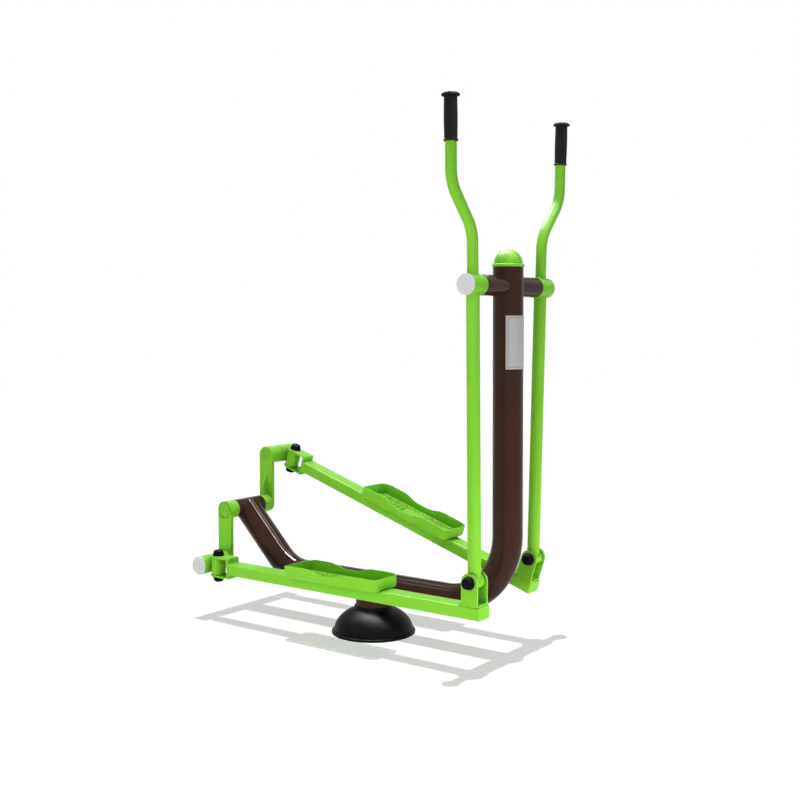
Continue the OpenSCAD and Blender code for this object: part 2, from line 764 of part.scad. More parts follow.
module footplate(side) {
    tray_x = tray_back + tray_len / 2 + (side == "left" ? left_tray_ahead : 0);
    color(green) at_treadle(side) translate([tray_x, -lane_y, bar_top]) {
        difference() {
            union() {
                intersection() {
                    tray_walls(wall_heel_h);
                    translate([-tray_len / 2, tray_w, 0]) rotate([90, 0, 0])
                        linear_extrude(2 * tray_w) polygon(concat(
                            [[0, 0]], wave, [[tray_len, wall_heights[7]], [tray_len, 0]]
                        ));
                }
                linear_extrude(tray_t) floor_plan();
            }
            for (row = [-1, 1]) for (i = [0:drain_count - 1])
                translate([
                    (i - (drain_count - 1) / 2) * drain_pitch, row * (tray_w / 2 - drain_inset), -over
                ]) cylinder(d = drain_d, h = tray_t + 2 * over);
        }
        for (group = [0, 1]) for (i = [0:rib_counts[group] - 1])
            translate([tray_len * (rib_start_shares[group] - 1 / 2) + i * rib_pitch, 0, tray_t])
                rotate([0, 0, -rib_slant]) translate([-rib_len / 2, 0, 0])
                linear_extrude(rib_h) slot_plan(rib_len, rib_w);
    }
}

// Front fork: base plate on the bar and two round-topped ears
module front_fork(side) {
    base_back = bar_reach + bar_overhang - plate_t / 2 - fork_base_len;
    ear_foot = bar_top + plate_t;
    color(green) at_treadle(side) difference() {
        union() {
            translate([base_back, -lane_y - bar_w / 2, bar_top]) cube([fork_base_len, bar_w, plate_t]);
            for (y = [-bar_w / 2 + plate_t, bar_w / 2])
                translate([bar_reach, y - lane_y, 0]) rotate([90, 0, 0]) linear_extrude(plate_t) {
                    translate([-ear_w / 2, ear_foot]) square([ear_w, fork_rise - ear_foot]);
                    translate([0, fork_rise]) circle(d = ear_w);
                }
        }
        translate([bar_reach, 0, fork_rise])
            y_rod(bolt_r + bolt_play, lane_y - bar_w, lane_y + bar_w);
    }
}

// Rear clevis: web on the bar's end, two plates rounded about the swivel bolt
module rear_clevis(side) {
    color(green) at_treadle(side) difference() {
        union() {
            translate([web_x, -lane_y - clevis_w / 2, -clevis_half])
                cube([plate_t, clevis_w, 2 * clevis_half]);
            for (z = [-clevis_half, clevis_half - plate_t])
                translate([swivel_x, -lane_y, z]) linear_extrude(plate_t) {
                    circle(d = clevis_w);
                    translate([0, -clevis_w / 2]) square([clevis_reach, clevis_w]);
                }
        }
        translate([swivel_x, -lane_y, -clevis_half - over])
            cylinder(r = bolt_r + bolt_play, h = 2 * (clevis_half + over));
    }
}

// Draws its child at the fork bolt and at the swivel bolt of a treadle, with the
// half length of the joint in $half and its +Z along the bolt
module at_both_joints(side) {
    at_treadle(side) {
        translate([bar_reach, -lane_y, fork_rise]) rotate([90, 0, 0]) let ($half = bar_w / 2) children();
        translate([swivel_x, -lane_y, 0]) let ($half = clevis_half) children();
    }
}
hex_corner_d = hex_w / cos(30);
module joint_bolts(side) {
    chamfer = 1.5;
    color(steel) at_both_joints(side) {
        translate([0, 0, -$half - hex_nut_t - nut_gap]) cylinder(r = bolt_r, h = 2 * $half + hex_nut_t + nut_gap);
        translate([0, 0, $half]) intersection() {
            cylinder(d = hex_corner_d, h = head_t, $fn = 6);
            rotate_extrude() polygon([
                [0, 0], [hex_corner_d / 2, 0], [hex_corner_d / 2, head_t - chamfer],
                [hex_w / 2 - chamfer / 2, head_t], [0, head_t]
            ]);
        }
    }
}
module joint_nuts(side) {
    color(steel) at_both_joints(side) difference() {
        translate([0, 0, -$half - hex_nut_t]) cylinder(d = hex_corner_d, h = hex_nut_t, $fn = 6);
        translate([0, 0, -$half - hex_nut_t - over]) cylinder(r = bolt_r, h = hex_nut_t + 2 * over);
    }
}

// Black cap over a bolt head or nut: a foot ring, a cone and a domed top
cap_top_d = 31;
cap_foot_h = 2;
cap_dome_h = 5.5;
module joint_cap() {
    tip = cap_h - cap_dome_h;
    dome = [for (i = [0:grip_steps])
        [cap_top_d / 2 * cos(90 * i / grip_steps), tip + cap_dome_h * sin(90 * i / grip_steps)]];
    rotate_extrude() difference() {
        polygon(concat([[0, 0], [cap_d / 2, 0], [cap_d / 2, cap_foot_h]], dome));
        translate([0, -over]) square([hex_corner_d / 2 + nut_gap, hex_nut_t + 2 * nut_gap + over]);
    }
}
module joint_caps(side) {
    color(black) at_both_joints(side) for (turn = [0, 180])
        rotate([turn, 0, 0]) translate([0, 0, $half]) joint_cap();
}

// Swivel sleeve: the sleeve on the crank pin with the upright knuckle in front
module swivel_sleeve(side) {
    color(green) at_treadle(side) difference() {
        union() {
            y_rod(pipe_r, pin_in, pin_out);
            translate([swivel_x, -lane_y, -swivel_h / 2]) cylinder(d = swivel_d, h = swivel_h);
        }
        y_rod(pipe_bore_r, pin_in - over, pin_out + over);
        translate([swivel_x, -lane_y, -swivel_h / 2 - over])
            cylinder(r = swivel_d / 2 - knuckle_wall, h = swivel_h + 2 * over);
    }
}
module swivel_bushes(side) {
    color(grey) at_treadle(side) translate([swivel_x, -lane_y, 0]) for (turn = [0, 180])
        rotate([turn, 0, 0]) translate([0, 0, -swivel_h / 2]) bush(swivel_d / 2 - knuckle_wall);
}
pin_outer_bearing = pin_out - lid_plug - nut_t - 2 * nut_gap - bearing_w;
pin_nut_y = pin_outer_bearing + bearing_w + nut_gap;
module sleeve_bearings(side) {
    color(steel) at_treadle(side) {
        bearing(pin_in + bearing_sink);
        bearing(pin_outer_bearing);
    }
}
module crank_pin(side) {
    color(steel) at_treadle(side) {
        y_rod(shaft_r, pin_in, pin_nut_y);
        y_rod(nut_d / 2, pin_nut_y, pin_nut_y + nut_t);
    }
}
module sleeve_lid(side) {
    color(grey) at_treadle(side) end_lid(pin_out);
}

base_flange();
base_gussets();
base_post();
base_cover();
main_tube();
crank_housing();
housing_bearings();
cross_tube();
cross_tube_plugs();
pivot_shaft();
pivot_nuts();
column_cap();
label_plate();
crank_shaft();
crank_end_discs();
crank_hub("right");  // right_crank_hub
crank_arm("right");  // right_crank_arm
crank_hub("left");  // left_crank_hub
crank_arm("left");  // left_crank_arm
pivot_sleeve("right");  // right_pivot_sleeve
pivot_bearings("right");  // right_pivot_bearings
pivot_lid("right");  // right_pivot_lid
lever_tube("right");  // right_lever_tube
handle_tube("right");  // right_handle_tube
hand_grip("right");  // right_hand_grip
foot_knuckle("right");  // right_foot_knuckle
knuckle_bushes("right");  // right_knuckle_bushes
pivot_sleeve("left");  // left_pivot_sleeve
pivot_bearings("left");  // left_pivot_bearings
pivot_lid("left");  // left_pivot_lid
lever_tube("left");  // left_lever_tube
handle_tube("left");  // left_handle_tube
hand_grip("left");  // left_hand_grip
foot_knuckle("left");  // left_foot_knuckle
knuckle_bushes("left");  // left_knuckle_bushes
treadle_bar("right");  // right_treadle_bar
footplate("right");  // right_footplate
front_fork("right");  // right_front_fork
rear_clevis("right");  // right_rear_clevis
joint_bolts("right");  // right_joint_bolts
joint_nuts("right");  // right_joint_nuts
joint_caps("right");  // right_joint_caps
treadle_bar("left");  // left_treadle_bar
footplate("left");  // left_footplate
front_fork("left");  // left_front_fork
rear_clevis("left");  // left_rear_clevis
joint_bolts("left");  // left_joint_bolts
joint_nuts("left");  // left_joint_nuts
joint_caps("left");  // left_joint_caps
swivel_sleeve("right");  // right_swivel_sleeve
swivel_bushes("right");  // right_swivel_bushes
sleeve_bearings("right");  // right_sleeve_bearings
crank_pin("right");  // right_crank_pin
sleeve_lid("right");  // right_sleeve_lid
swivel_sleeve("left");  // left_swivel_sleeve
swivel_bushes("left");  // left_swivel_bushes
sleeve_bearings("left");  // left_sleeve_bearings
crank_pin("left");  // left_crank_pin
sleeve_lid("left");  // left_sleeve_lid
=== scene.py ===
import json
import math

import bpy
from mathutils import Matrix, Vector

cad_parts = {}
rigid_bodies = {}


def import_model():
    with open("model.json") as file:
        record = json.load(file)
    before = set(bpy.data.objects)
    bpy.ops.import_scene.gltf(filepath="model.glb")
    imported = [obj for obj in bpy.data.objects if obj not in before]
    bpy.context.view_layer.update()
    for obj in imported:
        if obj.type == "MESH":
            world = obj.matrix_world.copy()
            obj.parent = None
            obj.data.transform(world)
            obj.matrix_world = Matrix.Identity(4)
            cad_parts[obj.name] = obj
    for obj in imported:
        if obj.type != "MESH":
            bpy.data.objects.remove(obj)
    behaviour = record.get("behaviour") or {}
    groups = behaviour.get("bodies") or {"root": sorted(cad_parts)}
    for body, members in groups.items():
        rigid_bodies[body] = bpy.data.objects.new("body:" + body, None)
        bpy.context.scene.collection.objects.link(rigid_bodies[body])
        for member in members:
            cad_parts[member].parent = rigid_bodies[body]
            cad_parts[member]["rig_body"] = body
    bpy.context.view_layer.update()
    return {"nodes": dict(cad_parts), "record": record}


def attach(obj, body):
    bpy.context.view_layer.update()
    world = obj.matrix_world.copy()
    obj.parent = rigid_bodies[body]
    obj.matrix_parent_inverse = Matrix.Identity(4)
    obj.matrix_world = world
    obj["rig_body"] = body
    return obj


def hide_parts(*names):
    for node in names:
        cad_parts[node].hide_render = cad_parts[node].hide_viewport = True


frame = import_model()
nodes = frame["nodes"]
print("frame loaded,", len(nodes), "nodes")


class Wire:
    # one output socket of a shader tree, so that shader maths reads as sums
    def __init__(self, finish, socket):
        self.finish, self.socket = finish, socket

    def join(self, operation, first, second):
        return self.finish.add("ShaderNodeMath", {"operation": operation}, {0: first, 1: second})

    def __add__(self, other):
        return self.join("ADD", self, other)

    def __sub__(self, other):
        return self.join("SUBTRACT", self, other)

    def __rsub__(self, other):
        return self.join("SUBTRACT", other, self)

    def __mul__(self, other):
        return self.join("MULTIPLY", self, other)

    __radd__, __rmul__ = __add__, __mul__

    def smaller(self, other):
        return self.join("MINIMUM", self, other)

    def larger(self, other):
        return self.join("MAXIMUM", self, other)

    def magnitude(self):
        return self.finish.add("ShaderNodeMath", {"operation": "ABSOLUTE"}, {0: self})


class Finish:
    # the shader tree of a material or of the world, under way
    def __init__(self, holder, outputKind="ShaderNodeOutputMaterial"):
        self.holder, self.outputKind = holder, outputKind
        holder.use_nodes = True
        self.tree = holder.node_tree
        self.tree.nodes.clear()

    def add(self, kind, settings=None, sockets=None, out=0):
        node = self.tree.nodes.new(kind)
        for key, value in (settings or {}).items():
            setattr(node, key, value)
        for key, value in (sockets or {}).items():
            if isinstance(value, Wire):
                self.tree.links.new(value.socket, node.inputs[key])
            else:
                node.inputs[key].default_value = value
        return None if out is None else Wire(self, node.outputs[out])

    def place(self):
        return self.add("ShaderNodeTexCoord", out="Object")

    def noise(self, where, scale, detail, roughness=0.5):
        return self.add("ShaderNodeTexNoise", {}, {"Vector": where, "Scale": scale, "Detail": detail,
                                                   "Roughness": roughness})

    def span(self, value, low, high, start=0.0, end=1.0):
        # value carried from low..high to start..end, clamped
        return self.add("ShaderNodeMapRange", {}, {"Value": value, "From Min": low, "From Max": high,
                                                   "To Min": start, "To Max": end})

    def blend(self, share, first, second):
        return self.add("ShaderNodeMix", {"data_type": "RGBA"}, {0: share, 6: first, 7: second}, out=2)

    def bump(self, height, strength, depth):
        return self.add("ShaderNodeBump", {}, {"Height": height, "Strength": strength, "Distance": depth})

    def seen(self):
        # one for rays that end in the camera, straight, by a mirror or through glass
        straight, mirrored, through = (self.add("ShaderNodeLightPath", out=ray) for ray in (
            "Is Camera Ray", "Is Glossy Ray", "Is Transmission Ray"))
        return straight.larger(mirrored.larger(through))

    def close(self, **sockets):
        named = {key.replace("_", " "): value for key, value in sockets.items()}
        return self.output(self.add("ShaderNodeBsdfPrincipled", {}, named))

    def output(self, shader):
        self.add(self.outputKind, {}, {"Surface": shader}, out=None)
        return self.holder


def rgb(red, green, blue):
    return (red, green, blue, 1.0)


# the shade samples are the rays that find the painted shade in corners
coatRules = {"cloudDetail": 4.0, "cloudSpan": (0.35, 0.65), "paintedShadeSamples": 8, "peelDetail": 2.0, "peelDepth": 0.0002,
             "speckRatio": 3, "speckDetail": 1.0, "speckShare": 0.3, "glossRatio": 3, "glossDetail": 3.0,
             "glossSpan": (0.3, 0.7), "glossier": 0.03, "duller": 0.04}


def powderCoat(name, look):
    # baked powder paint: a soft orange peel, faint clouding and a slightly uneven gloss
    coat, rules = Finish(bpy.data.materials.new(name)), coatRules
    where = coat.place()
    clouds = coat.noise(where, look["cloudScale"], rules["cloudDetail"])
    colour = coat.blend(coat.span(clouds, *rules["cloudSpan"]), look["colour"], look["shade"])
    if "paintedShadeReach" in look:
        # painted shade: ambient occlusion darkens the base colour towards a darker green in corners, hollows and the
        # insides of the trays
        openness = coat.add("ShaderNodeAmbientOcclusion", {"samples": rules["paintedShadeSamples"]},
                            {"Distance": look["paintedShadeReach"]}, out="AO")
        paintedShade = coat.span(openness, 0.0, 1.0, look["paintedShadeShare"], 0.0)
        colour = coat.blend(paintedShade, colour, look["paintedShadeColour"])
    peel = coat.noise(where, look["peelScale"], rules["peelDetail"])
    speck = coat.noise(where, look["peelScale"] * rules["speckRatio"], rules["speckDetail"])
    patches = coat.noise(where, look["cloudScale"] * rules["glossRatio"], rules["glossDetail"])
    gloss = coat.span(patches, *rules["glossSpan"], look["roughness"] - rules["glossier"],
                      look["roughness"] + rules["duller"])
    normal = coat.bump(peel + speck * rules["speckShare"], look["peel"], rules["peelDepth"])
    return coat.close(Base_Color=colour, Roughness=gloss, Specular_IOR_Level=look["specular"],
                      Coat_Weight=look["coat"], Coat_Roughness=look["coatRoughness"], Normal=normal)


skinRules = {"scuffScale": 34.0, "scuffDetail": 6.0, "scuffRoughness": 0.65, "scuffSpan": (0.45, 0.75),
             "glossSpan": (0.3, 0.7), "glossier": 0.05, "duller": 0.08, "grainDepth": 0.0003}


def mouldedPlastic(name, look):
    # moulded plastic or rubber: a fine leathery grain with faint scuffs
    skin, rules = Finish(bpy.data.materials.new(name)), skinRules
    where = skin.place()
    grain = skin.add("ShaderNodeTexVoronoi", {}, {"Vector": where, "Scale": look["grainScale"]})
    scuffs = skin.noise(where, rules["scuffScale"], rules["scuffDetail"], rules["scuffRoughness"])
    colour = skin.blend(skin.span(scuffs, *rules["scuffSpan"]), look["colour"], look["worn"])
    gloss = skin.span(scuffs, *rules["glossSpan"], look["roughness"] - rules["glossier"],
                      look["roughness"] + rules["duller"])
    normal = skin.bump(grain, look["grain"], rules["grainDepth"])
    return skin.close(Base_Color=colour, Roughness=gloss, Specular_IOR_Level=look["specular"], Normal=normal)


sheetLook = {"colour": rgb(0.52, 0.52, 0.53), "worn": rgb(0.47, 0.47, 0.48), "ink": rgb(0.16, 0.15, 0.15),
             "columnX": 0.5, "middle": 0.93, "halfHeight": 0.077, "halfTurn": math.radians(67.0), "radius": 0.0458,
             "lineStart": 0.0055, "lineWidth": 0.0014, "lineBlur": 0.0003, "brushing": (1.0, 1.0, 12.0),
             "grainScale": 90.0, "grainDetail": 3.0, "grainSpan": (0.3, 0.7), "grain": 0.08, "grainDepth": 0.0001,
             "roughness": 0.42, "specular": 0.25}


def borderedSheet(name, look):
    # the bare label plate: brushed sheet with one thin line printed inside its edge
    sheet = Finish(bpy.data.materials.new(name))
    where = sheet.place()
    across, aside, upward = (sheet.add("ShaderNodeSeparateXYZ", {}, {0: where}, out=axis) for axis in range(3))
    turn = sheet.add("ShaderNodeMath", {"operation": "ARCTAN2"}, {0: aside, 1: across - look["columnX"]})
    offSide = look["halfTurn"] * look["radius"] - turn.magnitude() * look["radius"]
    offTop = look["halfHeight"] - (upward - look["middle"]).magnitude()
    inset = offSide.smaller(offTop)
    start, end, blur = look["lineStart"], look["lineStart"] + look["lineWidth"], look["lineBlur"]
    line = sheet.span(inset, start, start + blur) * sheet.span(inset, end, end + blur, 1.0, 0.0)
    brushed = sheet.add("ShaderNodeMapping", {}, {"Vector": where, "Scale": look["brushing"]})
    grain = sheet.noise(brushed, look["grainScale"], look["grainDetail"])
    colour = sheet.blend(sheet.span(grain, *look["grainSpan"]), look["colour"], look["worn"])
    return sheet.close(Base_Color=sheet.blend(line, colour, look["ink"]), Roughness=look["roughness"],
                       Specular_IOR_Level=look["specular"],
                       Normal=sheet.bump(grain, look["grain"], look["grainDepth"]))


steelLook = {"dark": rgb(0.46, 0.46, 0.47), "bright": rgb(0.6, 0.6, 0.61), "markScale": 800.0, "markDetail": 3.0,
             "marks": 0.15, "markDepth": 0.0001, "filmScale": 25.0, "filmDetail": 4.0, "filmSpan": (0.3, 0.7),
             "roughness": (0.28, 0.42)}


def machinedSteel(name, look):
    # turned and ground steel with a thin film of oil
    steel = Finish(bpy.data.materials.new(name))
    where = steel.place()
    marks = steel.noise(where, look["markScale"], look["markDetail"])
    film = steel.noise(where, look["filmScale"], look["filmDetail"])
    colour = steel.blend(film, look["dark"], look["bright"])
    gloss = steel.span(film, *look["filmSpan"], *look["roughness"])
    normal = steel.bump(marks, look["marks"], look["markDepth"])
    return steel.close(Base_Color=colour, Metallic=1.0, Roughness=gloss, Normal=normal)


greenLook = {
    "colour": rgb(0.265, 0.72, 0.043),
    "shade": rgb(0.250, 0.695, 0.039),
    "cloudScale": 5.0,
    "peelScale": 420.0,
    "peel": 0.12,
    "roughness": 0.42,
    "specular": 0.09,
    "coat": 0.035,
    "coatRoughness": 0.06,
    # painted shade in corners and hollows: how far it looks, how much it darkens and the darker green it goes to
    "paintedShadeReach": 0.03,
    "paintedShadeShare": 0.72,
    "paintedShadeColour": rgb(0.030, 0.090, 0.006),
}
brownLook = {
    "colour": rgb(0.050, 0.021, 0.0135),
    "shade": rgb(0.045, 0.0185, 0.012),
    "cloudScale": 5.0,
    "peelScale": 420.0,
    "peel": 0.003,
    "roughness": 0.08,
    "specular": 0.10,
    "coat": 0.0,
    "coatRoughness": 0.05,
}
weldedLook = {**brownLook, "roughness": 0.4, "peel": 0.1}
coverLook = {"colour": rgb(0.0050, 0.0050, 0.0048), "worn": rgb(0.010, 0.010, 0.0097),
             "grainScale": 900.0, "grain": 0.2, "roughness": 0.42, "specular": 0.05}
capLook = {"colour": rgb(0.006, 0.005, 0.008), "worn": rgb(0.009, 0.008, 0.011),
           "grainScale": 1200.0, "grain": 0.1, "roughness": 0.5, "specular": 0.03}
lidLook = {"colour": rgb(0.78, 0.78, 0.79), "worn": rgb(0.73, 0.73, 0.74),
           "grainScale": 1100.0, "grain": 0.12, "roughness": 0.5, "specular": 0.3}
rubberLook = {"colour": rgb(0.017, 0.017, 0.018), "worn": rgb(0.024, 0.024, 0.024),
              "grainScale": 700.0, "grain": 0.3, "roughness": 0.7, "specular": 0.07}
bushLook = {"colour": rgb(0.72, 0.70, 0.63), "worn": rgb(0.64, 0.62, 0.55),
            "grainScale": 900.0, "grain": 0.1, "roughness": 0.4, "specular": 0.4}

greenPaint = powderCoat("greenPaint", greenLook)
brownPaint = powderCoat("brownPaint", brownLook)
brownWeld = powderCoat("brownWeld", weldedLook)
coverPlastic = mouldedPlastic("coverPlastic", coverLook)
capPlastic = mouldedPlastic("capPlastic", capLook)
lidPlastic = mouldedPlastic("lidPlastic", lidLook)
gripRubber = mouldedPlastic("gripRubber", rubberLook)
bushPlastic = mouldedPlastic("bushPlastic", bushLook)
labelSheet = borderedSheet("labelSheet", sheetLook)
bareSteel = machinedSteel("bareSteel", steelLook)
print("finishes made")

finishOfSlot = {
    "green_paint": greenPaint,
    "brown_paint": brownPaint,
    "black_plastic": coverPlastic,
    "grey_plastic": lidPlastic,
    "grip_rubber": gripRubber,
    "plain_steel": bareSteel,
    "bush_plastic": bushPlastic,
    "label_sheet": labelSheet,
}
slotOfNode = {part["node"]: part["material_slot"] for part in frame["record"]["subparts"]}


def finishOf(name):
    return capPlastic if name.endswith("joint_caps") else finishOfSlot[slotOfNode[name]]


for name, solid in nodes.items():
    solid.data.materials.clear()
    solid.data.materials.append(finishOf(name))

# lengths in metres and angles in degrees: points nearer than join are one, faces closer to a plane than flat
# are one, slivers thinner than sliver go, and edges blunter than smooth shade smooth
meshRules = {"join": 0.00001, "flat": 0.6, "sliver": 0.000002, "smooth": 30.0, "turnedSmooth": 35.0}
sides = ("right", "left")


def only(piece):
    # nothing but this piece is selected and active
    if bpy.context.mode != "OBJECT":
        bpy.ops.object.mode_set(mode="OBJECT")
    bpy.ops.object.select_all(action="DESELECT")
    piece.select_set(True)
    bpy.context.view_layer.objects.active = piece


def openMesh(piece, join):
    # edit mode, with everything selected and doubled points made one
    only(piece)
    bpy.ops.object.mode_set(mode="EDIT")
    bpy.ops.mesh.select_all(action="SELECT")
    bpy.ops.mesh.remove_doubles(threshold=join)


def breakEdges(piece, width, segments, angle):
    rounding = piece.modifiers.new("rounding", "BEVEL")
    rounding.width, rounding.segments = width, segments
    rounding.limit_method, rounding.angle_limit = "ANGLE", math.radians(angle)
    bpy.ops.object.modifier_apply(modifier="rounding")


def handOver(piece, name):
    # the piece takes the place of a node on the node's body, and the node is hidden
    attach(piece, nodes[name]["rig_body"])
    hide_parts(name)


def copied(name, newName):
    # a loose copy of a node, open for editing
    piece = nodes[name].copy()
    piece.data = nodes[name].data.copy()
    piece.name = newName
    piece.parent = None
    for key in list(piece.keys()):
        del piece[key]
    bpy.context.scene.collection.objects.link(piece)
    openMesh(piece, meshRules["join"])
    return piece


easedLook = {
    "segments": 3,
    "angle": 40.0,
    "discEdge": 0.0004,
    "partEdges": {
        "treadle_bar": 0.0015,
        "front_fork": 0.0008,
        "rear_clevis": 0.0008,
        "crank_arm": 0.0012,
        "crank_hub": 0.0006,
        "pivot_sleeve": 0.0006,
        "swivel_sleeve": 0.0006,
        "foot_knuckle": 0.0006,
        "joint_caps": 0.0005,
    },
}


def ease(name, edge):
    # a copy of the solid whose corners are broken as by grinding and paint
    piece = copied(name, name + "_eased")
    bpy.ops.mesh.dissolve_limited(angle_limit=math.radians(meshRules["flat"]))
    bpy.ops.object.mode_set(mode="OBJECT")
    breakEdges(piece, edge, easedLook["segments"], easedLook["angle"])
    bpy.ops.object.mode_set(mode="EDIT")
    bpy.ops.mesh.select_all(action="SELECT")
    bpy.ops.mesh.dissolve_degenerate(threshold=meshRules["sliver"])
    bpy.ops.mesh.remove_doubles(threshold=meshRules["sliver"])
    bpy.ops.object.mode_set(mode="OBJECT")
    bpy.ops.object.shade_smooth_by_angle(angle=math.radians(meshRules["smooth"]))
    handOver(piece, name)


for side in sides:
    for part, edge in easedLook["partEdges"].items():
        ease(side + "_" + part, edge)
ease("crank_end_discs", easedLook["discEdge"])
print("edges eased")

# where the moving parts stand at rest, from the joints and the sizes of the source
joints = {joint["name"]: joint for joint in frame["record"]["behaviour"]["joints"]}
layout = {"crank": (-0.56, 0.3515), "crankRadius": 0.17, "pivot": (0.5, 1.092), "lane": 0.1875, "reach": 1.066,
          "rise": 0.0835, "lever": 0.827, "pipe": 0.03, "tube": 0.0445, "slope": math.radians(45.0), "runZ": 0.151,
          "post": 0.057, "postTop": 0.1285}


def outward(side, y):
    return -y if side == "right" else y


def turned(origin, angle, side, x, y, z):
    # a place given in a part's own frame, which is turned about +Y
    return Vector((origin[0] + x * math.cos(angle) + z * math.sin(angle), outward(side, y),
                   origin[1] - x * math.sin(angle) + z * math.cos(angle)))


def forkBolt(side):
    place = joints[side + "_treadle_tilt"]["pos_m"]
    return place[0], place[2]


def crankPin(side):
    x, z = layout["crank"]
    return x, z + (layout["crankRadius"] if side == "left" else -layout["crankRadius"])


def onLever(side, x, y, z):
    pivot, bolt = layout["pivot"], forkBolt(side)
    angle = math.atan2(pivot[0] - bolt[0], pivot[1] - bolt[1])
    return turned(pivot, angle, side, x, y, z)


def onTreadle(side, x, y, z):
    pin, bolt = crankPin(side), forkBolt(side)
    angle = math.atan2(layout["rise"], layout["reach"]) - math.atan2(bolt[1] - pin[1], bolt[0] - pin[0])
    return turned(pin, angle, side, x, y, z)


def onCrank(side, x, y, z):
    flip = math.pi if side == "left" else 0.0
    return turned(layout["crank"], flip, side, x, y, z)


def onSlope(u, y, v):
    # u runs down the rear slope of the main tube and v stands square on it
    slope, (x, z) = layout["slope"], layout["crank"]
    return Vector((x + u * math.cos(slope) + v * math.sin(slope), y, z - u * math.sin(slope) + v * math.cos(slope)))


weldLook = {"step": 0.0013, "ripple": 0.14, "ripplePitch": 0.0032, "bevelResolution": 1, "join": 0.00002,
            "pipePoints": 72, "leverPoints": 48, "halfPoints": 40, "saddlePoints": 30, "lensPoints": 24}
# thickness of each run
weldSizes = {"crossTube": 0.0045, "housing": 0.0045, "post": 0.005, "hub": 0.004, "boss": 0.004, "gusset": 0.003,
             "lever": 0.004, "handle": 0.004, "knuckle": 0.0035, "clevis": 0.0035, "bar": 0.004, "fork": 0.0024,
             "ear": 0.0035, "swivel": 0.006}


def spread(route, closed):
    # the route again, with points at even short steps
    points = list(route) + ([route[0]] if closed else [])
    places, carried = [points[0]], 0.0
    for first, second in zip(points, points[1:]):
        length = (second - first).length
        done = weldLook["step"] - carried
        while done < length:
            places.append(first.lerp(second, done / length))
            done += weldLook["step"]
        carried = length - (done - weldLook["step"])
    return places


def weldBead(name, route, thickness, body, slotName, closed=True):
    # a run of weld under the paint, with the small ripples that the torch leaves
    places = spread(route, closed)
    bpy.ops.object.select_all(action="DESELECT")
    bpy.ops.curve.primitive_bezier_curve_add(location=(0, 0, 0))
    bead = bpy.context.active_object
    bead.name = name
    shape = bead.data
    shape.splines.clear()
    line = shape.splines.new("POLY")
    line.points.add(len(places) - 1)
    for index, (point, place) in enumerate(zip(line.points, places)):
        point.co = (*place, 1.0)
        wave = math.sin(2 * math.pi * index * weldLook["step"] / weldLook["ripplePitch"])
        point.radius = 1.0 + weldLook["ripple"] * wave
    line.use_cyclic_u = closed
    shape.dimensions = "3D"
    shape.bevel_depth = thickness / 2
    shape.bevel_resolution = weldLook["bevelResolution"]
    shape.use_fill_caps = not closed
    bpy.ops.object.convert(target="MESH")
    bead = bpy.context.active_object
    openMesh(bead, weldLook["join"])
    bpy.ops.mesh.normals_make_consistent(inside=False)
    bpy.ops.object.mode_set(mode="OBJECT")
    bpy.ops.object.shade_smooth()
    bead.data.materials.clear()
    bead.data.materials.append(brownWeld if slotName == "brown_paint" else greenPaint)
    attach(bead, body)


def arc(count, start=0.0, end=2 * math.pi):
    # evenly spaced angles, without the last one on a full turn
    full = math.isclose(end - start, 2 * math.pi)
    return [start + (end - start) * index / (count if full else count - 1) for index in range(count)]


def thereAndBack(count):
    # up along one side and down along the other, as sign and angle
    up, down = arc(count, -math.pi / 2, math.pi / 2), arc(count, math.pi / 2, -math.pi / 2)
    return [(1, angle) for angle in up] + [(-1, angle) for angle in down]


def frameWelds():
    tube, pipe = layout["tube"], layout["pipe"]
    x, z = layout["pivot"]
    for side in sides:
        route = [Vector((x + pipe * math.cos(a), outward(side, math.sqrt(tube ** 2 - (pipe * math.cos(a)) ** 2)),
                         z + pipe * math.sin(a))) for a in arc(weldLook["pipePoints"])]
        weldBead(side + "_cross_tube_weld", route, weldSizes["crossTube"], "frame", "brown_paint")
    # round the housing at the end of the slope
    route = [onSlope(pipe * math.cos(a), sign * math.sqrt(tube ** 2 - (pipe * math.sin(a)) ** 2),
                     pipe * math.sin(a)) for sign, a in thereAndBack(weldLook["halfPoints"])]
    weldBead("housing_weld", route, weldSizes["housing"], "frame", "brown_paint")
    # along the saddle on the post
    post, runZ = layout["post"], layout["runZ"]
    half = math.asin(math.sqrt(tube ** 2 - (runZ - layout["postTop"]) ** 2) / post)
    route = []
    for middle in (0.0, math.pi):
        for a in arc(weldLook["saddlePoints"], middle - half, middle + half):
            y = post * math.sin(a)
            route.append(Vector((post * math.cos(a), y, runZ - math.sqrt(max(tube ** 2 - y ** 2, 0.0)))))
    weldBead("post_weld", route, weldSizes["post"], "frame", "brown_paint")


crankLook = {"armInside": 0.0967, "armOutside": 0.1077, "sunk": 0.0012, "halfGusset": 0.003, "gussetTop": -0.1,
             "gussetFoot": -0.0305, "gussetReach": 0.027, "gussetLift": 0.0008}


def crankWelds(side):
    look = crankLook
    inside, sunk = look["armInside"], layout["pipe"] - look["sunk"]
    ring = [onCrank(side, sunk * math.cos(a), inside, sunk * math.sin(a)) for a in arc(weldLook["pipePoints"])]
    weldBead(side + "_hub_weld", ring, weldSizes["hub"], "crank", "green_paint")
    half = [onCrank(side, sunk * math.cos(a), look["armOutside"], -layout["crankRadius"] + sunk * math.sin(a))
            for a in arc(weldLook["halfPoints"], 0.0, math.pi)]
    weldBead(side + "_boss_weld", half, weldSizes["boss"], "crank", "green_paint", closed=False)
    for place, sign in (("rear", -1), ("front", 1)):
        x, foot = sign * look["halfGusset"], look["gussetFoot"]
        leg = [onCrank(side, x, inside, look["gussetTop"]), onCrank(side, x, inside, foot),
               onCrank(side, x, inside - look["gussetReach"], foot + look["gussetLift"])]
        weldBead(side + "_gusset_weld_" + place, leg, weldSizes["gusset"], "crank", "green_paint", closed=False)


leverLook = {"leverRadius": 0.019, "handleRadius": 0.016, "knuckleRadius": 0.021}


